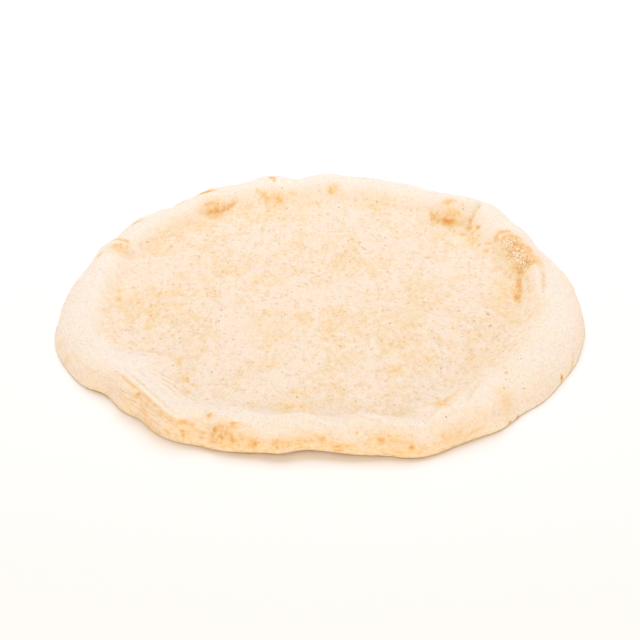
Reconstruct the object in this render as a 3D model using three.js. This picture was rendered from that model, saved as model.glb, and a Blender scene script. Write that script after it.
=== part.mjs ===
// A par-baked pizza base: one piece of pale, floured dough, stretched by hand into a round,
// thin in the middle and with a puffed, finger-pinched rim that lifts a little off the table.
// Millimetres, +Z up. The origin lies on the table under the middle of the bounding box,
// -Y is the front, and azimuths are in degrees from +X, counter-clockwise seen from above.

import * as THREE from "three";

// ---- Driving dimensions ----

const EDGE_RADIUS = 149.5; // mean reach of the outer edge
const EDGE_LEAN = 4.5; // the round reaches this much further towards EDGE_LEAN_AZIMUTH
const EDGE_LEAN_AZIMUTH = 315;
const DISH_RADIUS = 111; // the thin middle, out to the foot of the rim
const DISH_THICKNESS = 7.5;
const CREST_HEIGHT = 15; // top of the rim above the table
const CREST_INSET = 17; // from the outer edge in to the crest
const LIP_HEIGHT = 0.6; // height of the outermost line of the edge
const FOOT_INSET = 4; // from the outer edge in to where the underside meets the table
const OVERHANG_FULLNESS = 0.7; // 1 is a quarter of an ellipse, and less turns under more sharply

// ---- How the rim changes on its way round: [azimuth, half width, change] ----

const EDGE_LOBES = [
  [10, 5, 1.2],
  [21, 8, -3], // flattened back right
  [32, 5, 1.8],
  [46.5, 8, 9.6], // back right corner
  [65, 5, 2.6],
  [75, 4, 3.4],
  [80.5, 4, 1.8],
  [87, 5, 5.2],
  [95.5, 3, -3.6], // notch at the back
  [102, 6, 7],
  [115, 4, 2.5],
  [129, 4, -2.4],
  [149, 5, -2],
  [163, 8, -3.4], // pulled in at the back left
  [182, 5, -0.8],
  [196, 13, 3.8], // left bulge
  [211, 3, 0.6],
  [218.5, 5.5, -6],
  [229, 4.5, -4.8],
  [242, 5, 1.2], // front left corner
  [245, 4, -1.3],
  [263, 3, 3.2],
  [266, 26, -2.4],
  [268, 62, -2],
  [268, 10, -7], // long hollow along the front
  [277, 4, -0.8],
  [284, 4, -2.6],
  [291, 7, 4], // front right corner
  [309, 4, 1.6],
  [317, 4, -1.4],
  [324, 4, 0.6],
  [340, 6, 1.2],
  [352, 8, 1.6],
];

const DISH_LOBES = [
  [110, 16, 1],
  [150, 20, -4],
  [185, 16, -4],
  [214, 9, -12], // the pale mound that leans into the dish
  [268, 18, 2],
  [291, 7, 8],
  [325, 14, -4],
];

const CREST_RISES = [
  [8, 14, 1.5],
  [52, 9, 0.5],
  [156, 8, 0.5],
  [185, 16, -1.5],
  [232, 12, 0.5],
  [268, 14, -1.8],
  [246, 2.5, -1.5], // finger pinches along the front
  [259, 2.5, -0.6],
  [275.5, 2.5, -0.8],
  [292, 2.5, -1.8],
  [306, 8, 0.5],
  [338, 16, 1.5],
];

const CREST_INSETS = [
  [5, 20, 4],
  [75, 30, -3],
  [110, 16, -3],
  [155, 16, -2],
  [185, 16, 2],
  [230, 13, -7], // steep at the front left
  [268, 14, -1],
  [328, 18, 8], // broad, gently domed front right
];

// How full the shoulder is: 1 is a quarter of an ellipse, and less is squarer.
const SHOULDER_CHANGES = [
  [190, 20, 0.25],
  [228, 16, -0.35],
  [268, 16, -0.15],
  [340, 30, 0.1],
];

const LIP_RISES = [
  [90, 55, 2.5], // the hidden back
  [215.5, 2.5, 1.4], // lifted just clear of the table
  [246, 4, 1],
  [268, 17, 5.6], // the front overhangs most
  [300, 12, 1],
];

const FOOT_INSETS = [
  [90, 70, 5],
  [215, 5, 5],
  [268, 18, 18],
  [300, 14, 3],
];

// ---- Relief on top: domes, and strokes that run from one point to another ----

const RELIEF_MIDDLE = [2.5, -0.5]; // the places below are measured from here

// at, half length and half breadth, turn of the length in degrees, height
const BLISTERS = [
  { at: [80, 100], size: [17, 14], turn: -20, rise: 4.5 },
  { at: [101, 92], size: [11, 8], turn: -50, rise: 1.6 },
  { at: [46, 118], size: [8, 7], turn: 0, rise: 0.8 },
  { at: [25, 124], size: [9, 8], turn: 0, rise: 1.2 },
  { at: [8, 126], size: [10, 6], turn: 25, rise: 1 },
  { at: [-28, 121], size: [14, 11], turn: 0, rise: 2.6 },
  { at: [-64, 106], size: [14, 9], turn: 22, rise: 2.4 },
  { at: [-68, 122], size: [9, 5], turn: 30, rise: 1.4 },
  { at: [-84, 109], size: [9, 5], turn: 38, rise: 1.2 },
  { at: [-107, 87], size: [9, 6], turn: 50, rise: 1.4 },
  { at: [-117, 50], size: [9, 8], turn: 0, rise: 3.4 },
  { at: [113, 58], size: [13, 24], turn: 20, rise: 1.4 },
  { at: [97, 14], size: [12, 9], turn: 30, rise: 0.7 },
  { at: [-92, -73], size: [23, 17], turn: 115, rise: 2.6 },
  { at: [-112, -18], size: [12, 20], turn: 0, rise: 0.7 },
  { at: [-44, -128], size: [18, 12], turn: -14, rise: 1.3 }, // the rolls of the front rim
  { at: [-8, -131], size: [25, 12], turn: -12, rise: 1.2 },
  { at: [32, -133], size: [23, 12], turn: -24, rise: 1.3 },
  { at: [76, -126], size: [28, 14], turn: 22, rise: 1.6 },
  { at: [-10, 5], size: [36, 26], turn: 15, rise: 0.6 }, // low swells of the dish
  { at: [44, -38], size: [38, 24], turn: -20, rise: 0.6 },
  { at: [30, 62], size: [38, 20], turn: 10, rise: 0.5 },
  { at: [-58, 36], size: [26, 34], turn: 10, rise: 0.5 },
];

// from, to, sideways bow at the middle, half width, height (grooves are below zero)
const STROKES = [
  { from: [-61, -114], to: [-36, -131], bow: 7, width: 3.5, rise: 1.2 }, // crest lines of the rolls
  { from: [-27, -125], to: [8, -132], bow: 4.5, width: 3.5, rise: 1.5 },
  { from: [16, -120], to: [51, -131], bow: -4, width: 3.5, rise: 1.5 },
  { from: [57, -131], to: [90, -114], bow: 6, width: 4, rise: 1.3 },
  { from: [-60, -112], to: [-60, -142], bow: 0, width: 3.5, rise: -1.8 }, // pinches between them
  { from: [-31, -124], to: [-34, -142], bow: 0, width: 4, rise: -0.8 },
  { from: [11, -123], to: [15, -140], bow: 0, width: 4, rise: -1 },
  { from: [53, -126], to: [58, -144], bow: 0, width: 4, rise: -1.4 },
  { from: [-108, -86], to: [-70, -134], bow: -2, width: 4, rise: 1.2 }, // front left brink
  { from: [-97, -84], to: [-72, -116], bow: -2, width: 3.5, rise: -1 },
  { from: [-104, -50], to: [-74, -62], bow: 3, width: 3.5, rise: -0.9 }, // foot of the mound
  { from: [-73, -64], to: [-70, -98], bow: 2, width: 3.5, rise: -1 },
  { from: [76, -107], to: [87, -90], bow: 0, width: 3.5, rise: -1.4 }, // fold on the front right
  { from: [72, -110], to: [125, -38], bow: -6, width: 7, rise: 1 },
  { from: [62, -106], to: [84, -68], bow: -2, width: 5, rise: -1.2 },
  { from: [125, 6], to: [127, 40], bow: 0, width: 3, rise: 2 }, // bright fold on the right
  { from: [128, 4], to: [131, 34], bow: -2, width: 3, rise: -2.2 },
  { from: [112, -8], to: [115, 26], bow: 0, width: 4, rise: -1.8 },
  { from: [88, 80], to: [100, 109], bow: 1, width: 3.5, rise: -2.6 }, // creases round the blisters
  { from: [64, 92], to: [90, 82], bow: -4, width: 4, rise: -1.2 },
  { from: [-73, 97], to: [-51, 111], bow: -4, width: 3.5, rise: -1.6 },
  { from: [-40, 119], to: [-15, 116], bow: -7, width: 3.5, rise: -1.4 },
  { from: [-109, 55], to: [-112, 43], bow: 2, width: 3.5, rise: -1.4 },
];

// Low swells of the whole top: [wavelength, azimuth of travel, phase, height]
const SWELLS = [
  [66, 20, 40, 0.35],
  [49, 115, 200, 0.3],
  [35, 70, 310, 0.25],
  [27, 160, 90, 0.2],
];
const SWELL_BREADTH = 1.4; // how much longer the swells are across their travel than along it

// ---- Fineness of the facets ----

const RIM_POINTS = 216; // points on each ring of the rim
const DISH_RINGS = 17;
const SLOPE_RINGS = 6;
const SHOULDER_RINGS = 7;
const UNDER_RINGS = 5;
const BASE_RINGS = 4;

// ---- Small helpers ----

const radians = THREE.MathUtils.degToRad;
const bell = (distance, width) => Math.exp(-((distance / width) ** 2));
const mix = THREE.MathUtils.lerp;

// Shortest way round from one azimuth to another, in degrees.
const turnBetween = (a, b) => THREE.MathUtils.euclideanModulo(a - b + 180, 360) - 180;

// A mean value with the changes of one of the tables above.
const around = (azimuth, mean, changes) =>
  changes.reduce((sum, [at, width, change]) => sum + change * bell(turnBetween(azimuth, at), width), mean);

// ---- The section through the dough at one azimuth ----

function edgeRadius(azimuth) {
  const lean = EDGE_LEAN * Math.cos(radians(azimuth - EDGE_LEAN_AZIMUTH));
  return around(azimuth, EDGE_RADIUS + lean, EDGE_LOBES);
}

// The five stretches of the section, from the middle of the top to the middle of the underside.
// Each gives [distance from the axis, height] for t from 0 to 1, and each starts level with
// the end of the one before, so the section has no corner.
const STRETCHES = [
  function dish(rim, t) {
    return [rim.dish * t, DISH_THICKNESS];
  },
  function innerSlope(rim, t) {
    const climb = (1 - Math.cos(Math.PI * t)) / 2;
    return [mix(rim.dish, rim.crest, t), mix(DISH_THICKNESS, rim.height, climb)];
  },
  function shoulder(rim, t) {
    const turn = (t * Math.PI) / 2;
    const out = Math.sin(turn) ** rim.fullness;
    const up = Math.cos(turn) ** rim.fullness;
    return [mix(rim.crest, rim.edge, out), mix(rim.lip, rim.height, up)];
  },
  function overhang(rim, t) {
    const turn = (t * Math.PI) / 2;
    const out = Math.cos(turn) ** OVERHANG_FULLNESS;
    const down = Math.sin(turn) ** OVERHANG_FULLNESS;
    return [mix(rim.foot, rim.edge, out), rim.lip * (1 - down)];
  },
  function base(rim, t) {
    return [rim.foot * (1 - t), 0];
  },
];

function rimAt(azimuth) {
  const edge = edgeRadius(azimuth);
  return {
    edge,
    crest: edge - around(azimuth, CREST_INSET, CREST_INSETS),
    dish: around(azimuth, DISH_RADIUS, DISH_LOBES),
    height: around(azimuth, CREST_HEIGHT, CREST_RISES),
    fullness: around(azimuth, 1, SHOULDER_CHANGES),
    lip: around(azimuth, LIP_HEIGHT, LIP_RISES),
    foot: edge - around(azimuth, FOOT_INSET, FOOT_INSETS),
  };
}

// A place on the section: whole part of s is the stretch, the rest is t.
function sectionAt(rim, s) {
  const stretch = Math.min(Math.floor(s), STRETCHES.length - 1);
  return STRETCHES[stretch](rim, s - stretch);
}

// ---- Relief ----

function domeHeight(x, y, { at, size, turn, rise }) {
  const cos = Math.cos(radians(turn));
  const sin = Math.sin(radians(turn));
  const along = ((x - at[0]) * cos + (y - at[1]) * sin) / size[0];
  const across = ((y - at[1]) * cos - (x - at[0]) * sin) / size[1];
  const reach = Math.max(0, 1 - along * along - across * across);
  return rise * reach * Math.sqrt(reach);
}

function strokeHeight(x, y, { from, to, bow, width, rise }) {
  const run = [to[0] - from[0], to[1] - from[1]];
  const length = Math.hypot(...run);
  const t = THREE.MathUtils.clamp(((x - from[0]) * run[0] + (y - from[1]) * run[1]) / length ** 2, 0, 1);
  const sideways = 4 * bow * t * (1 - t);
  const middle = [
    from[0] + run[0] * t - (run[1] / length) * sideways,
    from[1] + run[1] * t + (run[0] / length) * sideways,
  ];
  return rise * bell(Math.hypot(x - middle[0], y - middle[1]), width);
}

function swellHeight(x, y, [wavelength, azimuth, phase, height]) {
  const cos = Math.cos(radians(azimuth));
  const sin = Math.sin(radians(azimuth));
  const along = (360 * (x * cos + y * sin)) / wavelength + phase;
  const across = (360 * (y * cos - x * sin)) / (SWELL_BREADTH * wavelength);
  return height * Math.sin(radians(along)) * Math.cos(radians(across));
}

function reliefAt(x, y) {
  const [u, v] = [x - RELIEF_MIDDLE[0], y - RELIEF_MIDDLE[1]];
  const total = (features, height) => features.reduce((sum, feature) => sum + height(u, v, feature), 0);
  return total(BLISTERS, domeHeight) + total(STROKES, strokeHeight) + total(SWELLS, swellHeight);
}

// How much of the relief shows: all of it on top, fading down the shoulder to none at the lip.
const reliefShare = (s) => THREE.MathUtils.smoothstep(3 - s, 0, 0.6);

// ---- The surface: the section with the relief raised square to it ----

function surfacePoint(s, azimuth) {
  const rim = rimAt(azimuth);
  const [radius, height] = sectionAt(rim, s);
  const x = radius * Math.cos(radians(azimuth));
  const y = radius * Math.sin(radians(azimuth));
  const step = 0.01;
  const before = sectionAt(rim, Math.max(0, s - step));
  const after = sectionAt(rim, Math.min(STRETCHES.length, s + step));
  const outward = [before[1] - after[1], after[0] - before[0]];
  const lift = (reliefShare(s) * reliefAt(x, y)) / Math.hypot(...outward);
  const moved = radius + outward[0] * lift;
  return new THREE.Vector3(
    moved * Math.cos(radians(azimuth)),
    moved * Math.sin(radians(azimuth)),
    height + outward[1] * lift,
  );
}

// ---- Facets: rings of points along the section, joined by strips of triangles ----

// Rings of the dish and of the base hold fewer points the nearer they are to the middle.
function ringPlan() {
  const plan = [{ s: 0, points: 1 }];
  const add = (stretch, rings, pointsAt) => {
    for (let k = 1; k <= rings; k++) {
      plan.push({ s: stretch + k / rings, points: pointsAt(k / rings) });
    }
  };
  add(0, DISH_RINGS, (t) => Math.max(6, Math.round(RIM_POINTS * 0.9 * t)));
  add(1, SLOPE_RINGS, () => RIM_POINTS);
  add(2, SHOULDER_RINGS, () => RIM_POINTS);
  add(3, UNDER_RINGS, (t) => Math.round(RIM_POINTS * (1 - 0.5 * t)));
  add(4, BASE_RINGS, (t) => (t === 1 ? 1 : Math.round(RIM_POINTS * 0.5 * (1 - t))));
  return plan;
}

function doughGeometry() {
  const positions = [];
  const rings = ringPlan().map(({ s, points }) => {
    const first = positions.length / 3;
    for (let k = 0; k < points; k++) positions.push(...surfacePoint(s, (360 * k) / points));
    return { points, corner: (k) => first + (k % points) };
  });
  const triangles = [];
  rings.slice(1).forEach((outer, k) => joinRings(triangles, rings[k], outer));
  const geometry = new THREE.BufferGeometry();
  geometry.setAttribute("position", new THREE.Float32BufferAttribute(positions, 3));
  geometry.setIndex(triangles);
  return geometry;
}

// Walks round two rings at once and takes each next triangle from the ring that is behind.
function joinRings(triangles, inner, outer) {
  let i = 0;
  let j = 0;
  while (i < inner.points || j < outer.points) {
    if ((j + 1) / outer.points <= (i + 1) / inner.points) {
      if (outer.points > 1) triangles.push(inner.corner(i), outer.corner(j), outer.corner(j + 1));
      j += 1;
    } else {
      if (inner.points > 1) triangles.push(inner.corner(i), outer.corner(j), inner.corner(i + 1));
      i += 1;
    }
  }
}

// ---- The part ----

const dough = new THREE.MeshStandardMaterial({ color: 0xecd7bb, roughness: 0.85, metalness: 0 });

const geometry = doughGeometry();
geometry.computeBoundingBox();
const middle = geometry.boundingBox.getCenter(new THREE.Vector3());
geometry.translate(-middle.x, -middle.y, 0);
geometry.computeVertexNormals();

const pizzaBase = new THREE.Mesh(geometry, dough);
pizzaBase.name = "pizza_base";

const part = new THREE.Group();
part.add(pizzaBase);

export default part;
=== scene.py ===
"""A par-baked pizza base: pale, floured dough, thin in the middle, with a finger-pinched rim."""

import math
from types import SimpleNamespace

import bmesh
import bpy
import numpy as np
from mathutils import Euler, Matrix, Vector, noise
from mathutils.bvhtree import BVHTree


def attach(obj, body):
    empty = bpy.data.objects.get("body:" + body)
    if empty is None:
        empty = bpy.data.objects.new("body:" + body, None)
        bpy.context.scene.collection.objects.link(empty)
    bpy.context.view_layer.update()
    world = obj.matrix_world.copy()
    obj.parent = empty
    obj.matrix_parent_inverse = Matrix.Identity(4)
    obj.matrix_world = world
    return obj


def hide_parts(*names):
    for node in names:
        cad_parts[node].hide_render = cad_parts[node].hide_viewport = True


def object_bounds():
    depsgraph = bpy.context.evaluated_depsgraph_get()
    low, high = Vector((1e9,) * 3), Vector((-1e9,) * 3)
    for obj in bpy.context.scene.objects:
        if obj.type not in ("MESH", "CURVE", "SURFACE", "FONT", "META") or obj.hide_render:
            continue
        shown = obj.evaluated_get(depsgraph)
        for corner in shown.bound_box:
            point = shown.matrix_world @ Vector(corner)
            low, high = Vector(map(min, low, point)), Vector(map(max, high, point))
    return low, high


bl_info = {
    "name": "Pizza Base",
    "version": (1, 0, 0),
    "blender": (4, 5, 0),
    "location": "3D View > Sidebar > Pizza Base",
    "description": "Builds a par-baked, floured pizza base on a pale table",
    "category": "Object",
}

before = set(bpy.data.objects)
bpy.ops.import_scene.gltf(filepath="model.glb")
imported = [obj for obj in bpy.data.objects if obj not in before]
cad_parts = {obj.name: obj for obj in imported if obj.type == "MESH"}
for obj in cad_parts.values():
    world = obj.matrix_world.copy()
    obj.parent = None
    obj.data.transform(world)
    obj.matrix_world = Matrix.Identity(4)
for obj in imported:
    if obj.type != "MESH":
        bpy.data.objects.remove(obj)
SOLID_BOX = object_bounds()

MM = 0.001  # metres in a millimetre


def linear(hex_colour):
    """The linear red, green and blue of an sRGB hex value."""
    channels = (int(hex_colour[k : k + 2], 16) / 255 for k in (1, 3, 5))
    return tuple(c / 12.92 if c <= 0.04045 else ((c + 0.055) / 1.055) ** 2.4 for c in channels)


# ---- Camera, 1.2 m away ----

LOOKS_DOWN = 32  # degrees below level
CAMERA_PLACE = Vector((-0.0005, -1.0413, 0.6439))
CAMERA_TURN = Euler((math.radians(90 - LOOKS_DOWN), 0, 0))
LENS = 119.3  # millimetres, on a sensor 36 mm wide
SENSOR = 36
PHOTO_SIDE = 640  # pixels
EDGE_SLACK = 3  # pixels by which a place may miss the dough's edge

# ---- Light ----

# The light from all round is warm and the lamp above is cool, so the open table is white, and the
# shade under the rim is orange. Each lamp is a disk that faces the dough.
# name, place and width in metres, watts, colour
LAMPS = (
    ("overhead", (0, 0.9, 1.5), 1.8, 21.0, (1, 1.09, 1.25)),
    ("front_fill", (0, -1.9, 1.6), 1.8, 7.5, (1, 0.97, 0.93)),
    ("low_left_fill", (-1.5, -1.6, 0.4), 1.2, 14.0, (1, 0.8, 0.6)),
    ("low_right_fill", (1.5, -1.6, 0.4), 1.2, 15.0, (1, 0.8, 0.6)),
)
ROOM_COLOUR = (1, 0.83, 0.66)
ROOM_STRENGTH = 0.52
TABLE_REACH = 6  # metres from its middle to each side

# ---- Form ----

SPLITS = 2  # times that each facet of the solid is cut in four
ROUNDINGS = 2  # times that the mesh is smoothed after each

# Sides of the base: azimuth in degrees, counter-clockwise from +X, half width, and sharpness.
FRONT_SIDE = (260, 42, 4)
BACK_SIDE = (80, 70, 4)
DRAWN_CORNER = (228, 16, 2)  # the front left, where the skin was drawn out and wrinkled
SECTOR = 2  # degrees, in each of which the outer edge is found

# Where each zone of the skin ends and where it is whole. INSET is millimetres in from the outer
# edge, TILT is the upward part of the skin's normal, and RADIUS is millimetres from the middle.
RIM_INSET = (34, 14)
RIM_TILT = (-0.35, 0.15)
SKIRT_INSET = (22, 15)
SKIRT_TILT = (0.97, 0.6)
LIP_INSET = (32, 22)
UNDER_TILT = (-0.75, -1.0)
FACE_RADIUS = (112, 120)
FACE_HEIGHT = (10, 7)  # millimetres above the table: the middle of the face, and its half width

NOISE_FALLOFF = 0.9  # how fast the skin's noise weakens as it gets finer
NOISE_STEP = 2.0  # how much finer each layer of it is than the last
CRACKLE_HEIGHT = 0.12 * MM  # of the cracked skin of the toasted spots
FLAT_FOOT = 1.5  # millimetres above the table, over which the relief fades in

CREASE_STEP = 4  # pixels between the points of a crease
TINT_WIDTH = 1.5  # how much wider a crease's tint is than its rise
TINT_STRENGTH = 0.85

HIDDEN_SPOT = 11 * MM  # width of the toasted spots on the sides that the photo doesn't show
HIDDEN_STRENGTH = 0.9

# ---- Patterns of the dough's material ----

# Noise of five widths in millimetres, and its detail. Each is about 0.5 in the mean.
GRAIN = {
    "patches": (34, 2.0),
    "mottles": (8, 2.0),
    "curds": (3.2, 1.0),
    "crumbs": (1.8, 1.0),
    "dust": (1.1, 0.0),
}
# The dough was stretched from front to back, and its grain is longer that way.
GRAIN_SCALE = (1, 0.7, 1)
STREAK_WIDTH = 1.4 * MM
STREAK_SQUEEZE = 50 * MM  # a third of the rim's radius, so streaks are three times as long as wide
# Flour burned onto the dough in streaks of two directions, longer than they are wide.
HATCH_WIDTH = 0.8 * MM
HATCH_TURNS = (-50, 25)  # degrees
HATCH_SCALE = (1, 0.4, 1)
SWAY_WIDTH = 1.4 * MM  # width of the waves in a speck's outline
SWAY = 1.6 * MM  # and how far they go
# Specks of bran: width of a cell in millimetres, rarity, breadth in cells, strength.
BRAN = ((4, 0.5, 0.36, 0.28), (8, 0.6, 0.18, 0.45))
SCATTER = 6 * MM  # how far red light goes in the dough; green and blue go less far
SCATTER_COLOUR = (1.0, 0.35, 0.12)

# What raise_skin stores at each point for the material to read: zones from 0 up, and in "inset"
# the millimetres in from the outer edge.
LAYERS = ("toast_and_shade", "ash", "flour", "rim", "skirt", "under", "inset", "drawn")

# ---- Where the dough is toasted, floured and creased, and where shade is painted ----
# Places are pixels of the photo, x to the right and y down, and are laid on the dough there.
# Sizes are in millimetres. Turns are in degrees: 0 lies to the right, and 90 lies uphill or away.

# Toasted spots, and some rows of painted shade where the dough turns from the light, marked below.
# at, half length and half breadth, turn of the length, strength
TOASTED_AND_SHADED = (
    # front left corner
    ((138.5, 394), (2.2, 2), 0, 0.8),
    ((140, 396), (4, 3), -45, 0.4),
    ((147, 403), (3.4, 1.5), -50, 0.45),
    ((144, 411), (5, 2.4), -50, 0.3),
    ((155, 423), (6, 2), -35, 0.2),
    ((167, 432), (2.6, 2), -20, 0.65),
    # painted shade on the outer face at the left
    ((59.5, 345), (3, 4), 0, 0.3),
    ((66, 360), (3, 6), -30, 0.3),
    # front face, from left to right
    ((183, 422.5), (4.4, 2), 0, 0.62),
    ((190, 424), (3, 1.8), -20, 0.5),
    ((183, 430), (2, 3.6), 0, 0.5),
    ((183, 435), (1.3, 2), 0, 0.75),
    ((187, 430), (6, 6), 0, 0.25),
    ((195, 418.7), (2.6, 0.9), -15, 0.4),
    ((210, 414.4), (2, 2.2), 0, 0.62),
    ((211, 417), (4, 4), 0, 0.35),
    ((215.6, 429.5), (2, 2.2), 0, 0.85),
    ((221.3, 437), (1.5, 3), 0, 0.8),
    ((214, 438), (5, 5), 0, 0.5),
    ((222, 431), (7, 7), 0, 0.5),
    ((226, 434), (1.3, 4), 0, 0.6),
    ((232, 439), (1.3, 4), 0, 0.6),
    ((230, 426), (8, 3), 0, 0.45),
    ((233, 423), (3.4, 1), 0, 0.75),
    ((236, 441), (10, 5), 0, 0.35),
    ((255, 444.4), (1.7, 1.5), 0, 0.95),
    ((254, 444), (5, 4), 0, 0.55),
    ((277, 447), (2, 1.6), 0, 0.8),
    ((277, 444.5), (5, 5), 0, 0.55),
    # painted shade under the crest of the roll
    ((299, 430), (8, 1.6), -12, 0.2),
    ((322.4, 439.5), (1.8, 1.6), 0, 0.85),
    ((321, 441), (5, 4), 0, 0.45),
    ((337, 446.5), (2.4, 0.7), 5, 1.1),
    ((338, 450), (3.4, 1.6), 0, 0.8),
    ((354, 445), (3, 2), 0, 0.3),
    ((345, 447), (12, 2.4), 0, 0.35),
    ((320, 445), (10, 4), 0, 0.3),
    ((356.5, 432.5), (1.7, 1.5), 0, 0.55),
    ((382, 440.5), (2.6, 2), 0, 0.6),
    ((384, 442), (6, 5), 0, 0.1),
    ((394, 443), (2.2, 1.8), 0, 0.35),
    ((411.5, 447.5), (1.6, 1.3), 0, 0.95),
    ((411, 447), (5, 4.4), 0, 0.3),
    ((411, 435.5), (1.6, 1.5), 0, 0.5),
    ((395, 452), (12, 1.6), 0, 0.3),
    ((444, 436), (4, 3), 0, 0.35),
    # front right and right edge
    ((452, 437), (7, 3.4), 20, 0.4),
    ((475, 431.5), (6, 1.6), 20, 0.5),
    ((504, 405), (9, 8), 20, 0.3),
    ((510.6, 423.3), (1.3, 0.9), 20, 1.5),
    ((518.8, 418.5), (1.5, 0.9), 30, 1.5),
    ((561.7, 378), (1.2, 2), -20, 1.4),
    ((572, 366), (1.4, 8), -30, 0.45),
    ((582, 319), (1, 1.6), 0, 0.6),
    # right part of the dish, and the foot of the rim there
    ((469, 371), (4, 2.6), 10, 0.45),
    # painted shade on the inner slope of the rim
    ((452, 396), (13, 4), 52, 0.42),
    ((475, 386), (1.6, 2.6), 0, 0.5),
    ((506.5, 372.5), (1, 1.2), 0, 0.9),
    ((458, 278), (6, 5), 0, 0.3),
    # blister at the back right
    ((447, 221), (9, 2.8), -8, 0.85),
    ((436, 214), (4, 4), 0, 0.6),
    ((452, 214), (7, 6), 0, 0.45),
    ((448.5, 201.5), (4.6, 4), 0, 0.65),
    ((463, 204.5), (0.9, 2.6), 0, 0.6),
    ((469, 229.5), (2.8, 4), 0, 0.85),
    ((477.5, 227.5), (1.8, 2.2), 0, 0.9),
    ((486, 251), (2.2, 3), 0, 0.5),
    ((465, 235), (8, 6), 0, 0.45),
    # brown patch on the right
    ((488, 243), (4.5, 2), 0, 0.45),
    ((497, 237.5), (2.6, 5), 0, 0.62),
    ((501, 232), (3.4, 4), 0, 0.55),
    ((507, 231), (3.4, 3), 0, 0.5),
    ((514, 238), (6, 9), 30, 0.6),
    ((521, 247), (7, 14), 30, 0.72),
    ((529, 260), (6, 10), 30, 0.7),
    ((513, 252), (6, 14), 30, 0.6),
    ((519, 268), (5, 9), 30, 0.65),
    ((505, 238), (5, 7), 20, 0.5),
    ((518.7, 284), (2.4, 14), 0, 0.85),
    ((517.6, 297), (3, 8), 0, 0.85),
    ((514, 290), (5, 15), 0, 0.42),
    ((543.5, 277), (1.6, 9), 0, 0.4),
    ((510, 277), (2.4, 2), 0, 0.4),
    ((502, 283), (2, 3), 0, 0.35),
    ((498, 313.5), (2, 3), 0, 0.35),
    ((529, 316), (1.6, 4), 0, 0.4),
    ((509, 321), (4, 3), 0, 0.35),
    # far rim, from right to left
    ((332, 189), (4.4, 6), -30, 0.45),
    ((292, 194), (3, 4), 0, 0.4),
    ((279, 198), (3.4, 4), 0, 0.45),
    ((263, 193), (5, 5), -30, 0.35),
    ((272, 178), (2.4, 2), -20, 0.75),
    ((300, 208), (22, 8), 0, 0.25),
    ((217, 209), (11, 10), 10, 0.5),
    ((222, 212), (5, 4), 20, 0.5),
    ((220, 220), (6, 5), 0, 0.3),
    ((206, 192.5), (8, 1.4), 15, 0.9),
    ((180, 203), (5, 1.4), 20, 0.8),
    ((137, 222), (4, 1.6), 30, 0.6),
    ((100, 255), (4, 1.6), 40, 0.6),
    ((118, 245), (7, 7), 0, 0.45),
    # left part of the dish
    ((118, 300), (3.6, 2), 50, 0.6),
    ((130, 305), (12, 17), 0, 0.32),
    ((129.5, 348), (1, 3), 0, 0.6),
    # painted shade along the right edge of the mound
    ((184.5, 375), (1.6, 14), 0, 0.35),
    ((188, 380), (1.2, 1.8), 0, 0.9),
    ((196, 385.5), (2.6, 1.6), 0, 0.5),
    ((186, 392), (3, 2.4), 0, 0.35),
    # honey patches of the dish
    ((268, 364), (8, 10), 0, 0.3),
    ((276, 314), (9, 6), 0, 0.32),
    ((310, 320), (4, 5), 0, 0.35),
    ((340, 346), (4.5, 2.4), 0, 0.45),
    ((392, 370), (6, 7), 0, 0.35),
    ((298, 392), (10, 4), 0, 0.32),
    ((250, 405), (10, 4), 0, 0.25),
    ((165, 250), (14, 12), 0, 0.25),
    ((275, 328), (22, 28), 0, 0.24),
    ((290, 406), (14, 10), 0, 0.38),
    ((441, 402), (7, 9), 30, 0.5),
    ((472, 238), (6, 12), 0, 0.48),
    ((500, 290), (7, 22), 0, 0.36),
    ((150, 318), (5, 36), 0, 0.32),
    ((280, 216), (30, 8), 0, 0.3),
    ((505, 395), (8, 8), 30, 0.32),
    # painted shade along the edge of the mound at the front left
    ((151, 352), (9, 3), 0, 0.42),
    ((168, 355), (8, 3.4), -10, 0.35),
    ((179, 364), (4.4, 9), 0, 0.4),
    ((185, 378), (3, 6), 0, 0.45),
    ((187, 392), (2.4, 6), 0, 0.35),
    ((195, 385), (4, 1.8), 0, 0.45),
)

# Where flour burned onto the brown patch in fine pale and dark streaks.
ASHY = (
    ((508, 245), (8, 12), 28, 0.9),
    ((516, 254), (8, 14), 28, 1.0),
    ((525, 263), (7, 13), 30, 0.95),
    ((517, 271), (5, 9), 20, 0.85),
)

# Pale, floury places: rim tops, the mound at the front left and the streaks on the brown patch.
FLOURED = (
    ((145, 366), (24, 18), 120, 0.9),
    ((100, 352), (12, 10), 0, 0.5),
    ((163, 400), (12, 6), -50, 0.7),
    ((248, 418), (6, 6), 0, 1.0),
    ((292, 418), (14, 3), -8, 0.6),
    ((372, 419), (14, 4), -20, 0.8),
    ((415, 432), (7, 4), 0, 0.5),
    ((452, 414), (9, 4), 20, 0.4),
    ((560, 345), (12, 22), 0, 0.6),
    ((538, 278), (3, 15), 0, 1.0),
    ((517, 248), (3, 10), 25, 0.7),
    ((90, 290), (12, 34), -10, 0.5),
    ((330, 181), (60, 8), 0, 0.4),
    ((160, 425), (14, 8), -35, 1.4),
    ((402, 308), (14, 20), 0, 0.9),
)

# Larger pinholes, where bubbles broke through.
PINHOLES = (
    (506, 379), (504, 388), (524, 388.5), (446, 417), (503, 351), (510, 336), (474, 321),
    (459, 311), (424, 302), (408, 303.5), (521, 359), (262, 228), (269, 231), (279, 244),
    (328, 226), (365, 249), (350, 262), (409, 228), (388, 272), (348, 241), (270, 261), (228, 263),
    (223, 245.5), (380, 236), (339, 207), (292, 292), (245, 291), (215, 291), (285, 315),
    (282, 317), (264, 310), (306, 284), (404, 342), (356, 347), (371, 349), (340, 346), (344, 390),
    (297, 397), (248, 403), (394, 405), (212, 372), (180, 338), (144, 339), (126, 330), (219, 321),
    (187, 378), (478, 367.7), (218, 203.6), (543, 292), (282, 188), (463, 209), (216, 322),
    (378, 299), (441, 368), (421, 326), (147, 242),
)
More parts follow.
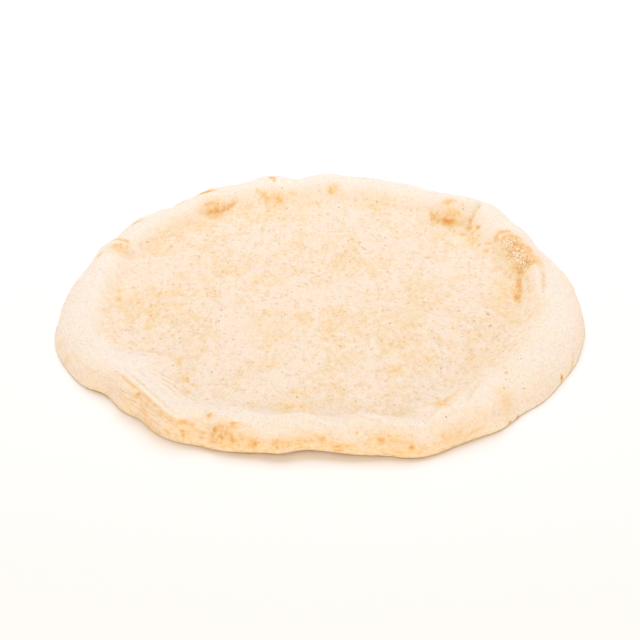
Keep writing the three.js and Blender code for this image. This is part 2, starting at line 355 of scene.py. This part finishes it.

# Creases, and ridges where the rise is above zero: pixels along it, half width, rise, and toasting,
# which is below zero where the line is floury instead. The darkening in the hollows behind the
# front crests and in the grooves of the brink is painted shade, and the pale crest lines are
# partly a painted highlight.
CREASES = (
    # crest lines of the front rolls, pale partly with flour and partly with a painted highlight
    (
        (
            (264, 420), (272, 417), (285, 415.5), (300, 416), (312, 419.5), (324, 423.5),
            (337, 426),
        ),
        1.2, 0.7, -0.9,
    ),
    (
        (
            (346, 411), (356, 413), (366, 416.5), (378, 420), (392, 424.5), (406, 426.5),
            (422, 427),
        ),
        1.2, 0.7, -0.9,
    ),
    (((430, 424), (437, 417), (446, 410.5), (456, 407.5), (466, 406)), 1.2, 0.6, -0.8),
    (((205, 404), (212, 408), (217, 413), (221, 419)), 1.2, 0.6, -0.8),
    (((226, 410), (236, 408), (248, 411), (256, 417)), 1.2, 0.5, -0.7),
    # hollows behind them, darkened with painted shade
    (((300, 411), (312, 414), (324, 418.5), (337, 421)), 1.4, -0.4, 0.2),
    (((366, 411), (380, 414.5), (394, 419.5), (408, 421)), 1.4, -0.4, 0.2),
    (((428, 419), (434, 412), (442, 405)), 1.5, -0.5, 0.25),
    # wrinkled brink at the front left: a floury ridge, and painted shade in its grooves
    (
        (
            (113, 369), (120, 371), (130, 379), (140, 388), (151, 398), (160, 406), (168, 413),
            (177, 419),
        ),
        1.1, 0.8, -0.9,
    ),
    (((119, 374), (131, 384), (141, 393), (152, 403), (162, 412), (172, 419)), 1.0, -0.6, 0.45),
    (((124, 370), (136, 379), (147, 388), (158, 398), (167, 406), (176, 413)), 1.0, -0.5, 0.35),
    (((132, 365), (145, 376), (160, 389), (172, 400)), 1.0, -0.35, 0.2),
    (((112, 372), (124, 382), (136, 393)), 1.0, -0.4, 0.25),
    (((148, 406), (160, 415), (174, 423)), 1.0, -0.5, 0.4),
    (((70, 352), (82, 364), (96, 376)), 1.0, -0.3, 0.2),
    (((84, 338), (92, 348), (104, 358)), 1.0, -0.25, 0.15),
    (((195, 429), (200, 431.5), (206, 434)), 1.0, -0.8, 0.4),
    (((200, 420), (204, 424), (208, 431)), 1.1, -0.4, 0.3),
    (((207, 412), (208, 425), (209, 441)), 1.4, -0.8, 0.2),
    # folds of the front right
    (((467, 400), (472, 392), (478, 384)), 1.2, -0.7, 0.35),
    # back right blister and brown patch
    (((481, 203.5), (476, 211), (470, 221), (469, 229)), 1.2, -0.9, 0.5),
    (((430, 209), (432, 219), (440, 224), (452, 226), (465, 224)), 1.5, -0.6, 0.5),
    (((494, 242.8), (497, 237), (501, 233), (507, 231)), 1.6, -0.5, 0.2),
    (((483, 245), (495, 244)), 1.4, -0.4, 0.3),
    (((519.4, 275.5), (518.7, 290), (517.3, 304)), 1.6, -0.8, 0.3),
    (((537.8, 264.6), (536.4, 272.8), (537.8, 283.7), (536.4, 293)), 1.3, 0.6, 0),
    (((542, 268), (544.5, 275.5), (544.6, 285), (543.3, 291.2)), 1.2, -0.8, 0.4),
    # blisters of the far rim and of the back left
    (((202, 206), (210, 203), (218, 202)), 1.2, -0.5, 0.5),
    (((203, 213), (210, 212), (218, 212), (228, 209), (237, 200)), 1.3, -0.7, 0.7),
    (((256, 188), (260, 195), (268, 198), (273, 197)), 1.2, -0.4, 0.5),
    (((273, 200), (279, 202), (285, 198), (290, 194), (296, 196)), 1.1, -0.4, 0.5),
    (((325, 195), (332, 190), (340, 184)), 1.1, -0.3, 0.5),
    (((270, 176), (275, 178), (274, 182)), 1.0, -0.3, 0.6),
    (((109, 241), (118, 238.6), (126, 240), (129, 245), (124, 251)), 1.5, -0.6, 0.55),
    # cracks of the dish
    (((114, 303), (118, 300), (122, 297)), 1.1, -0.4, 0.5),
    (((262, 310), (268, 317), (276, 314)), 1.0, -0.4, 0.4),
)


# ---- Settings ----


class PizzaBaseSettings(bpy.types.PropertyGroup):
    """Sizes and colours of the pizza base."""

    lump_size: bpy.props.FloatProperty(
        name="Skin unevenness",
        description="Width of the lumps of the skin",
        default=14 * MM,
        unit="LENGTH",
    )
    lump_height: bpy.props.FloatProperty(
        name="Unevenness height",
        description="Height of the lumps of the skin",
        default=0.35 * MM,
        unit="LENGTH",
    )
    pitting_size: bpy.props.FloatProperty(
        name="Pitting",
        description="Width of the small pits and pimples",
        default=3.6 * MM,
        unit="LENGTH",
    )
    pitting_height: bpy.props.FloatProperty(
        name="Pitting depth",
        description="Depth of the small pits and pimples",
        default=0.14 * MM,
        unit="LENGTH",
    )
    wrinkle_spacing: bpy.props.FloatProperty(
        name="Stretch wrinkles",
        description="Spacing of the wrinkles of the outer face",
        default=3.4 * MM,
        unit="LENGTH",
    )
    wrinkle_depth: bpy.props.FloatProperty(
        name="Wrinkle depth",
        description="Depth of the wrinkles",
        default=0.2 * MM,
        unit="LENGTH",
    )
    pinhole_radius: bpy.props.FloatProperty(
        name="Pinholes",
        description="Radius of the larger pinholes",
        default=0.55 * MM,
        unit="LENGTH",
    )
    crumb: bpy.props.FloatVectorProperty(
        name="Dough",
        description="Half-baked dough of the dish",
        subtype="COLOR",
        default=linear("#F0E1CF"),
    )
    # Also the colour of painted shade on the outer face and, with toast, in hollows and along
    # edges.
    honey: bpy.props.FloatVectorProperty(
        name="Honey",
        description="Dough that began to colour",
        subtype="COLOR",
        default=linear("#EDD09C"),
    )
    flour: bpy.props.FloatVectorProperty(
        name="Flour",
        description="Dusting of flour",
        subtype="COLOR",
        default=linear("#EEE6DB"),
    )
    # Also, with honey, the colour in which shade is painted in hollows, grooves and along edges.
    toast_and_shade: bpy.props.FloatVectorProperty(
        name="Toast",
        description="Toasted spots",
        subtype="COLOR",
        default=linear("#DFA45C"),
    )
    scorch: bpy.props.FloatVectorProperty(
        name="Scorch",
        description="Hearts of the toasted spots",
        subtype="COLOR",
        default=linear("#BF8038"),
    )
    char: bpy.props.FloatVectorProperty(
        name="Char",
        description="Darkest spots and pinholes",
        subtype="COLOR",
        default=linear("#8A6238"),
    )
    table: bpy.props.FloatVectorProperty(
        name="Table",
        description="Pale table",
        subtype="COLOR",
        default=linear("#F8F8F9"),
    )


# ---- Places that the photo shows ----


def seen_at(surface, pixel):
    """The point of the dough that the photo shows at a pixel, and the way the dough faces there."""
    focal = PHOTO_SIDE * LENS / SENSOR
    from_middle = Vector((pixel[0] - PHOTO_SIDE / 2, PHOTO_SIDE / 2 - pixel[1]))
    for pulled_in in range(EDGE_SLACK + 1):
        across = from_middle * (1 - pulled_in / from_middle.length)
        ray = Vector((*(across / focal), -1))
        ray.rotate(CAMERA_TURN)
        place, normal, _, _ = surface.ray_cast(CAMERA_PLACE, ray)
        if place is not None:
            return place, normal
    raise RuntimeError(f"the photo shows no dough at pixel {pixel}")


def spots(points, surface, table):
    """How strongly each point lies in the spots of a table, from 0 up."""
    total = np.zeros(len(points))
    for pixel, (length, breadth), turn, strength in table:
        place, normal = seen_at(surface, pixel)
        right = Vector((1, 0, 0)).cross(normal).cross(-normal).normalized()
        uphill = normal.cross(right)
        lengthways = right * math.cos(math.radians(turn)) + uphill * math.sin(math.radians(turn))
        offset = (points - np.array(place)) / MM
        along = offset @ np.array(lengthways)
        across = (offset**2).sum(1) - along**2
        total = np.maximum(
            total, strength * np.exp(-(along**2) / length**2 - across / breadth**2)
        )
    return total


def finer(pixels, step):
    """The same line of pixels with points at most a step apart."""
    line = [pixels[0]]
    for (x0, y0), (x1, y1) in zip(pixels, pixels[1:]):
        parts = math.ceil(math.hypot(x1 - x0, y1 - y0) / step)
        line += [
            (x0 + (x1 - x0) * k / parts, y0 + (y1 - y0) * k / parts) for k in range(1, parts + 1)
        ]
    return line


def creases(points, surface, table):
    """The rise in millimetres, the toasting and the flour that lines of a table give each point."""
    rises, toasting_and_shading, flouring = np.zeros((3, len(points)))
    for pixels, width, rise, toast_and_shade in table:
        path = [np.array(seen_at(surface, place)[0]) / MM for place in finer(pixels, CREASE_STEP)]
        run = np.cumsum([0] + [np.linalg.norm(b - a) for a, b in zip(path, path[1:])])
        length = run[-1]
        centre = (path[0] + path[-1]) / 2
        reach = max(length, length / 2 + 4 * width)
        near = np.flatnonzero(np.abs(points / MM - centre).max(axis=1) < reach)
        best = np.full(len(near), np.inf)
        at = np.zeros(len(near))
        for k, (a, b) in enumerate(zip(path, path[1:])):
            offset = points[near] / MM - a
            t = np.clip(offset @ (b - a) / max(1e-9, (b - a) @ (b - a)), 0, 1)
            gap = np.linalg.norm(offset - t[:, None] * (b - a), axis=1)
            closer = gap < best
            best[closer] = gap[closer]
            at[closer] = (run[k] + t[closer] * (run[k + 1] - run[k])) / length
        # The line is weaker towards its ends.
        fade = np.sqrt(np.clip(4 * at * (1 - at) + 0.3, 0, 1))
        rises[near] += rise * fade * np.exp(-((best / width) ** 2))
        tint = toast_and_shade * fade * np.exp(-((best / (TINT_WIDTH * width)) ** 2))
        toasting_and_shading[near] = np.maximum(toasting_and_shading[near], TINT_STRENGTH * tint)
        flouring[near] = np.maximum(flouring[near], -tint)
    return rises, toasting_and_shading, flouring


# ---- Shape ----


def dough_mesh(name):
    """The solid's own mesh, with its facets split finer and rounded over."""
    work = bmesh.new()
    work.from_mesh(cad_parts["pizza_base"].data)
    bmesh.ops.remove_doubles(work, verts=work.verts, dist=0.01 * MM)
    for _ in range(SPLITS):
        bmesh.ops.subdivide_edges(work, edges=work.edges[:], cuts=1, use_grid_fill=True)
        for _ in range(ROUNDINGS):
            bmesh.ops.smooth_vert(
                work,
                verts=work.verts,
                factor=0.5,
                use_axis_x=True,
                use_axis_y=True,
                use_axis_z=True,
            )
    mesh = bpy.data.meshes.new(name)
    work.to_mesh(mesh)
    surface = BVHTree.FromBMesh(work)
    work.free()
    mesh.shade_smooth()
    return mesh, surface


def read(collection, field):
    """The vectors of a mesh's collection as rows of an array."""
    values = np.empty(len(collection) * 3)
    collection.foreach_get(field, values)
    return values.reshape(-1, 3)


def mottle(points, size, octaves, seed):
    """Smooth noise between about -1 and 1 at each point, with lumps of the given size in metres."""
    shift = Vector((seed * 3.7, seed * 1.9, seed * 5.3))
    places = (Vector(point) / size + shift for point in points)
    return np.array([noise.fractal(p, NOISE_FALLOFF, NOISE_STEP, octaves) for p in places])


def ramp(values, low, high):
    """A straight change from 0 at low to 1 at high, where high may be the smaller of the two."""
    return np.clip((values - low) / (high - low), 0, 1)


def smooth_step(values, low, high):
    """The same change, eased at both ends."""
    t = ramp(values, low, high)
    return t * t * (3 - 2 * t)


def hump(values, middle, half_width, sharpness):
    """1 in the middle, falling to 0 past the half width on both sides."""
    return np.exp(-(((values - middle) / half_width) ** sharpness))


def distance_in(azimuth, radius):
    """Distance in from the outer edge, found from the furthest point in each sector."""
    count = 360 // SECTOR
    reach = np.zeros(count)
    np.maximum.at(reach, (azimuth // SECTOR).astype(int), radius)
    return np.interp(azimuth, (np.arange(count) + 0.5) * SECTOR, reach, period=360) - radius


def hidden_toast(points, normals, under):
    """Toasted spots of the outer face that the photo doesn't show."""
    to_camera = ((np.array(CAMERA_PLACE) - points) * normals).sum(1)
    hidden = smooth_step(to_camera, 0.0, -0.15) * (1 - under)
    blisters = smooth_step(mottle(points, HIDDEN_SPOT, octaves=2, seed=4), 0.3, 0.7)
    return HIDDEN_STRENGTH * hidden * blisters


def raise_skin(mesh, surface, settings):
    """Lifts each vertex along its normal by the relief of the skin, and stores the LAYERS there."""
    points = read(mesh.vertices, "co")
    normals = read(mesh.vertex_normals, "vector")
    x, y, z = (points / MM).T
    radius = np.hypot(x, y)
    azimuth = np.degrees(np.arctan2(y, x)) % 360
    inset = distance_in(azimuth, radius)

    # Zones: the rim from above, its outer face as a skirt, and the underside.
    upward = normals[:, 2]
    front = hump(azimuth, *FRONT_SIDE)
    back = hump(azimuth, *BACK_SIDE)
    under = ramp(upward, *UNDER_TILT)
    rim = smooth_step(inset, *RIM_INSET) * ramp(upward, *RIM_TILT) * (1 - 0.35 * front)
    # The skirt's honey is partly toasting and partly painted shade of the faces that turn from the
    # light above, weighted most at the front.
    skirt = smooth_step(upward, *SKIRT_TILT) * smooth_step(inset, *SKIRT_INSET)
    skirt *= 0.3 + 0.7 * front + 0.5 * back
    # The lip that curls clear of the table at the front is toasted most of all below.
    lip = 0.3 * front * smooth_step(inset, *LIP_INSET)

    lumps = mottle(points, settings.lump_size, octaves=3, seed=1)
    pits = mottle(points, settings.pitting_size, octaves=3, seed=2)
    crackle = mottle(points, 0.45 * settings.pitting_size, octaves=2, seed=3)
    rises, dark_lines, pale_lines = creases(points, surface, CREASES)
    toast_and_shade = np.maximum(spots(points, surface, TOASTED_AND_SHADED), dark_lines)
    toast_and_shade = np.maximum(toast_and_shade, hidden_toast(points, normals, under))
    flour = np.maximum(spots(points, surface, FLOURED), pale_lines)

    # Stretch wrinkles run round the outer face, most of all at the front left.
    face = hump(z, *FACE_HEIGHT, 2) * smooth_step(radius, *FACE_RADIUS) * (1 - under)
    drawn = face * (0.25 + 0.75 * hump(azimuth, *DRAWN_CORNER))
    down_face = (z * MM - radius * MM + 0.9 * MM * lumps) / settings.wrinkle_spacing
    wrinkles = np.sin(2 * math.pi * down_face) * drawn

    lift = settings.lump_height * lumps * (0.5 + 0.5 * rim)
    lift += settings.pitting_height * pits * (1 + 0.5 * toast_and_shade)
    lift += CRACKLE_HEIGHT * np.abs(crackle) * toast_and_shade
    lift += settings.wrinkle_depth * wrinkles
    lift += rises * MM
    lift *= ramp(z, 0, FLAT_FOOT)

    moved = points + normals * lift[:, None]
    low, high = (np.array(corner) for corner in SOLID_BOX)
    mesh.vertices.foreach_set("co", np.clip(moved, low, high).ravel())
    mesh.update()

    ash = spots(points, surface, ASHY)
    values = (toast_and_shade, ash, flour, rim, skirt, under * (1 + lip), inset, drawn)
    for name, value in zip(LAYERS, values):
        layer = mesh.attributes.new(name, "FLOAT", "POINT")
        layer.data.foreach_set("value", value.astype(np.float32))


# ---- Materials ----


def add_node(tree, kind, inputs=None, **settings):
    """Adds a node, sets its settings, and links or fills its inputs."""
    made = tree.nodes.new(kind)
    for name, value in settings.items():
        setattr(made, name, value)
    for name, value in (inputs or {}).items():
        if isinstance(value, bpy.types.NodeSocket):
            tree.links.new(value, made.inputs[name])
        elif made.inputs[name].type == "RGBA":
            made.inputs[name].default_value = (*value, 1)
        else:
            made.inputs[name].default_value = value
    return made


def weighted(tree, start, *terms):
    """A number plus several values, each times its weight."""
    total = start
    for value, weight in terms:
        added = add_node(
            tree, "ShaderNodeMath", {0: value, 1: weight, 2: total}, operation="MULTIPLY_ADD"
        )
        total = added.outputs[0]
    return total


def coat(tree, below, above, amount, low, high, most=1.0):
    """Lays a colour over another as an amount rises from low to high."""
    share = add_node(
        tree,
        "ShaderNodeMapRange",
        {"Value": amount, "From Min": low, "From Max": high, "To Max": most},
    )
    # Inputs 6 and 7 and output 2 are the Mix node's colours.
    mixed = add_node(
        tree, "ShaderNodeMix", {0: share.outputs[0], 6: below, 7: above}, data_type="RGBA"
    )
    return mixed.outputs[2]


def read_skin(tree):
    """The place, the stored layers and the noise that the dough's material is made from."""
    skin = SimpleNamespace()
    skin.place = add_node(tree, "ShaderNodeTexCoord").outputs["Object"]
    for name in LAYERS:
        layer = add_node(tree, "ShaderNodeAttribute", attribute_name=name)
        setattr(skin, name, layer.outputs["Fac"])
    grain = add_node(
        tree, "ShaderNodeVectorMath", {0: skin.place, 1: GRAIN_SCALE}, operation="MULTIPLY"
    )
    for name, (width, detail) in GRAIN.items():
        texture = add_node(
            tree,
            "ShaderNodeTexNoise",
            {"Vector": grain.outputs[0], "Scale": 1 / (width * MM), "Detail": detail},
        )
        setattr(skin, name, texture.outputs["Fac"])

    # Streaks follow the rim. Across them the pattern goes down the face and in from the edge.
    level = add_node(
        tree, "ShaderNodeVectorMath", {0: skin.place, 1: (1, 1, 0)}, operation="MULTIPLY"
    )
    heading = add_node(
        tree, "ShaderNodeVectorMath", {0: level.outputs[0]}, operation="NORMALIZE"
    )
    height = add_node(tree, "ShaderNodeSeparateXYZ", {0: skin.place}).outputs["Z"]
    skin.down = weighted(tree, height, (skin.inset, MM))
    across = add_node(tree, "ShaderNodeCombineXYZ", {"Z": skin.down})
    drawn_out = add_node(
        tree,
        "ShaderNodeVectorMath",
        {0: heading.outputs[0], 1: (STREAK_SQUEEZE, STREAK_SQUEEZE, 0), 2: across.outputs[0]},
        operation="MULTIPLY_ADD",
    )
    streaks = add_node(
        tree,
        "ShaderNodeTexNoise",
        {"Vector": drawn_out.outputs[0], "Scale": 1 / STREAK_WIDTH, "Detail": 2.0},
    )
    skin.streaks = streaks.outputs["Fac"]
    centred = weighted(tree, -0.5, (skin.streaks, 1.0))
    streaky = add_node(tree, "ShaderNodeMath", {0: centred, 1: skin.skirt}, operation="MULTIPLY")
    skin.streaky = streaky.outputs[0]
    return skin


def crumb_and_flour(tree, skin, settings):
    """The untoasted dough: cream with honey patches, honey painted shade on the outer face, a
    golden underside, flour and fine grain.
    """
    patches, mottles, curds, crumbs, dust = (getattr(skin, name) for name in GRAIN)

    # Honey patches 3 cm wide, broken up by finer mottling; the outer face shows most of them,
    # partly as toasting and partly as painted shade of faces that turn from the light above.
    warmth = weighted(
        tree,
        -2.15,
        (patches, 1.6),
        (mottles, 1.2),
        (curds, 1.0),
        (crumbs, 0.8),
        (skin.rim, -0.3),
        (skin.skirt, 0.45),
        (skin.under, 0.6),
        (skin.streaky, 1.5),
    )
    colour = coat(tree, tuple(settings.crumb), tuple(settings.honey), warmth, 0.0, 1.0)

    # The underside met the hot stone and is golden in blotches.
    golden = weighted(
        tree, -3.3, (skin.under, 1.6), (patches, 1.4), (mottles, 1.6), (curds, 0.8)
    )
    colour = coat(tree, colour, tuple(settings.toast_and_shade), golden, 0.0, 0.9)

    # Flour lies in a thin, broken film, mostly on the rim.
    film = weighted(
        tree,
        -1.45,
        (skin.rim, 1.1),
        (skin.flour, 0.6),
        (patches, 0.4),
        (mottles, 0.7),
        (curds, 0.7),
        (crumbs, 0.4),
        (skin.skirt, -0.6),
    )
    colour = coat(tree, colour, tuple(settings.flour), film, 0.0, 0.9, 0.9)

    # Crumbs and burst bubbles of a millimetre or two pepper the skin, darker more than lighter.
    pepper = weighted(
        tree,
        -1.35,
        (curds, 0.5),
        (crumbs, 1.0),
        (dust, 1.2),
        (skin.rim, -0.2),
        (skin.streaky, 1.2),
    )
    colour = coat(tree, colour, tuple(settings.char), pepper, 0.0, 0.5, 0.3)
    gain = weighted(tree, 0.8, (dust, 0.28), (crumbs, 0.14))
    grainy = add_node(
        tree, "ShaderNodeVectorMath", {0: colour, "Scale": gain}, operation="SCALE"
    )
    return grainy.outputs[0]


def toasting_and_shading(tree, skin, settings, colour):
    """Toasted spots and painted shade, the flour burned onto the brown patch, and the dark lines of
    painted shade in the wrinkles.
    """
    flour, honey, toast_and_shade, scorch, char = (
        tuple(getattr(settings, name)) for name in ("flour", "honey", "toast_and_shade", "scorch", "char")
    )

    # Spots go from honey over orange to brown at their heart, with ragged edges. The same coats lay
    # the painted shade in hollows and along edges.
    ragged = weighted(tree, -0.6, (skin.crumbs, 1.2), (skin.mottles, 1.0), (skin.curds, 1.0))
    heat_and_shade = add_node(tree, "ShaderNodeMath", {0: skin.toast_and_shade, 1: ragged}, operation="MULTIPLY")
    for tint, low, high, most in (
        (honey, 0.08, 0.45, 0.8),
        (toast_and_shade, 0.3, 1.0, 1.0),
        (scorch, 1.0, 1.5, 1.0),
        (char, 1.6, 2.2, 1.0),
    ):
        colour = coat(tree, colour, tint, heat_and_shade.outputs[0], low, high, most)

    # Flour burned onto the brown patch lies in fine crossing streaks, pale over dark.
    hatching = 0.0
    for turn in HATCH_TURNS:
        turned = add_node(
            tree,
            "ShaderNodeMapping",
            {
                "Vector": skin.place,
                "Rotation": (0, 0, math.radians(turn)),
                "Scale": HATCH_SCALE,
            },
        )
        streak = add_node(
            tree,
            "ShaderNodeTexNoise",
            {"Vector": turned.outputs[0], "Scale": 1 / HATCH_WIDTH, "Detail": 0.0},
        )
        hatching = weighted(tree, hatching, (streak.outputs["Fac"], 1.0))
    burned = weighted(tree, 0.55, (hatching, -1.6), (skin.ash, 1.2))
    colour = coat(tree, colour, char, burned, 0.0, 0.4, 0.35)
    dusted = weighted(tree, -2.55, (hatching, 1.6), (skin.ash, 1.0))
    colour = coat(tree, colour, flour, dusted, 0.0, 0.35, 0.75)

    # Thin dark lines of painted shade in the stretch wrinkles, parallel to the edge and 3 mm apart,
    # which waver.
    phase = weighted(tree, 0.0, (skin.down, 2.0 / MM), (skin.mottles, 8.0))
    line = add_node(tree, "ShaderNodeMath", {0: phase}, operation="SINE")
    groove = weighted(tree, -1.95, (line.outputs[0], 1.0), (skin.drawn, 0.9), (skin.streaks, 0.7))
    return coat(tree, colour, toast_and_shade, groove, 0.0, 0.25, 0.5)


def specks_and_pinholes(tree, skin, settings, colour, pinholes):
    """Specks of bran at random, and the larger pinholes where the photo shows them."""
    char = tuple(settings.char)

    # Some cells of a random pattern hold a brown speck of uneven shape.
    sway = add_node(
        tree,
        "ShaderNodeTexNoise",
        {"Vector": skin.place, "Scale": 1 / SWAY_WIDTH, "Detail": 0.0},
    )
    swayed = add_node(
        tree,
        "ShaderNodeVectorMath",
        {0: sway.outputs["Color"], 1: (SWAY, SWAY, SWAY), 2: skin.place},
        operation="MULTIPLY_ADD",
    )
    for cell, rarity, breadth, strength in BRAN:
        cells = add_node(
            tree,
            "ShaderNodeTexVoronoi",
            {"Vector": swayed.outputs[0], "Scale": 1 / (cell * MM)},
        )
        chosen = add_node(tree, "ShaderNodeSeparateColor", {0: cells.outputs["Color"]})
        size = add_node(
            tree,
            "ShaderNodeMapRange",
            {"Value": chosen.outputs[0], "From Min": rarity, "To Max": breadth},
        )
        inside = weighted(
            tree, size.outputs[0], (cells.outputs["Distance"], -1.0), (skin.rim, -0.1)
        )
        colour = coat(tree, colour, char, inside, 0.0, 0.7 * breadth, strength)

    nearest = 1.0
    for hole in pinholes:
        gap = add_node(tree, "ShaderNodeVectorMath", {0: skin.place, 1: hole}, operation="DISTANCE")
        least = add_node(
            tree, "ShaderNodeMath", {0: gap.outputs["Value"], 1: nearest}, operation="MINIMUM"
        )
        nearest = least.outputs[0]
    radius = settings.pinhole_radius
    return coat(tree, colour, char, nearest, 1.3 * radius, 0.4 * radius, 0.7)


def floured_dough(settings, pinholes):
    """Par-baked wheat dough, stretched by hand, dusted with flour and baked on a stone.

    That makes it matt and dry, cream where it is floured and honey-coloured where it met the heat.
    Shade is also painted onto it in honey and toast colours on the outer face, in hollows and along
    edges.
    A little light goes into it, so its edges look soft.
    """
    material = bpy.data.materials.new("floured_dough")
    material.use_nodes = True
    tree = material.node_tree
    tree.nodes.clear()
    skin = read_skin(tree)
    colour = crumb_and_flour(tree, skin, settings)
    colour = toasting_and_shading(tree, skin, settings, colour)
    colour = specks_and_pinholes(tree, skin, settings, colour, pinholes)
    grit = weighted(tree, 0.0, (skin.crumbs, 0.6), (skin.dust, 0.4))
    bump = add_node(
        tree, "ShaderNodeBump", {"Height": grit, "Strength": 0.6, "Distance": 0.5 * MM}
    )
    dough = add_node(
        tree,
        "ShaderNodeBsdfPrincipled",
        {
            "Base Color": colour,
            "Roughness": 0.85,
            "IOR": 1.4,
            "Specular IOR Level": 0.25,
            "Subsurface Weight": 0.3,
            "Subsurface Radius": SCATTER_COLOUR,
            "Subsurface Scale": SCATTER,
            "Normal": bump.outputs["Normal"],
        },
    )
    add_node(tree, "ShaderNodeOutputMaterial", {"Surface": dough.outputs[0]})
    return material


def white_laminate(settings):
    """A pressed laminate table top with a matt finish, which reflects softly and evenly."""
    material = bpy.data.materials.new("white_laminate")
    material.use_nodes = True
    tree = material.node_tree
    tree.nodes.clear()
    top = add_node(
        tree,
        "ShaderNodeBsdfPrincipled",
        {"Base Color": tuple(settings.table), "Roughness": 0.9},
    )
    add_node(tree, "ShaderNodeOutputMaterial", {"Surface": top.outputs[0]})
    return material


# ---- Operators ----


class PIZZABASE_OT_dough(bpy.types.Operator):
    """Makes the dough: the solid's form with its skin, pinches, blisters, toasted spots and painted
    shade
    """

    bl_idname = "pizza_base.dough"
    bl_label = "Dough"

    def execute(self, context):
        settings = context.scene.pizza_base
        mesh, surface = dough_mesh("dough")
        raise_skin(mesh, surface, settings)
        pinholes = [seen_at(surface, place)[0] for place in PINHOLES]
        mesh.materials.append(floured_dough(settings, pinholes))
        dough = bpy.data.objects.new("dough", mesh)
        context.scene.collection.objects.link(dough)
        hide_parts("pizza_base")
        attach(dough, "root")
        return {"FINISHED"}


class PIZZABASE_OT_stage(bpy.types.Operator):
    """Makes the pale table, the soft lights and the camera"""

    bl_idname = "pizza_base.stage"
    bl_label = "Stage"

    def execute(self, context):
        scene = context.scene
        self.lay_table(scene)
        self.light(scene)
        self.place_camera(scene)
        return {"FINISHED"}

    def lay_table(self, scene):
        table = bmesh.new()
        bmesh.ops.create_grid(table, x_segments=1, y_segments=1, size=TABLE_REACH)
        mesh = bpy.data.meshes.new("table")
        table.to_mesh(mesh)
        table.free()
        mesh.materials.append(white_laminate(scene.pizza_base))
        floor = bpy.data.objects.new("table", mesh)
        scene.collection.objects.link(floor)

    def light(self, scene):
        for name, place, width, watts, colour in LAMPS:
            lamp = bpy.data.lights.new(name, "AREA")
            lamp.shape = "DISK"
            lamp.size = width
            lamp.energy = watts
            lamp.color = colour
            light = bpy.data.objects.new(name, lamp)
            light.location = place
            light.rotation_euler = (-Vector(place)).to_track_quat("-Z", "Y").to_euler()
            scene.collection.objects.link(light)
        world = bpy.data.worlds.new("white_room")
        world.use_nodes = True
        room = world.node_tree.nodes["Background"].inputs
        room["Color"].default_value = (*ROOM_COLOUR, 1)
        room["Strength"].default_value = ROOM_STRENGTH
        scene.world = world
        scene.view_settings.view_transform = "Standard"

    def place_camera(self, scene):
        camera = bpy.data.objects.new("camera", bpy.data.cameras.new("camera"))
        camera.data.sensor_width = SENSOR
        camera.data.lens = LENS
        camera.location = CAMERA_PLACE
        camera.rotation_euler = CAMERA_TURN
        scene.collection.objects.link(camera)
        scene.camera = camera


class PIZZABASE_PT_panel(bpy.types.Panel):
    """Lists the settings and the steps of the pizza base"""

    bl_idname = "PIZZABASE_PT_panel"
    bl_label = "Pizza Base"
    bl_space_type = "VIEW_3D"
    bl_region_type = "UI"
    bl_category = "Pizza Base"

    def draw(self, context):
        settings = context.scene.pizza_base
        for name in settings.bl_rna.properties.keys():
            if name not in ("rna_type", "name"):
                self.layout.prop(settings, name)
        self.layout.operator("pizza_base.dough")
        self.layout.operator("pizza_base.stage")


CLASSES = (PizzaBaseSettings, PIZZABASE_OT_dough, PIZZABASE_OT_stage, PIZZABASE_PT_panel)


def register():
    for cls in CLASSES:
        bpy.utils.register_class(cls)
    bpy.types.Scene.pizza_base = bpy.props.PointerProperty(type=PizzaBaseSettings)


def unregister():
    del bpy.types.Scene.pizza_base
    for cls in reversed(CLASSES):
        bpy.utils.unregister_class(cls)


def main():
    register()
    bpy.ops.pizza_base.dough()
    bpy.ops.pizza_base.stage()


if __name__ == "__main__":
    main()
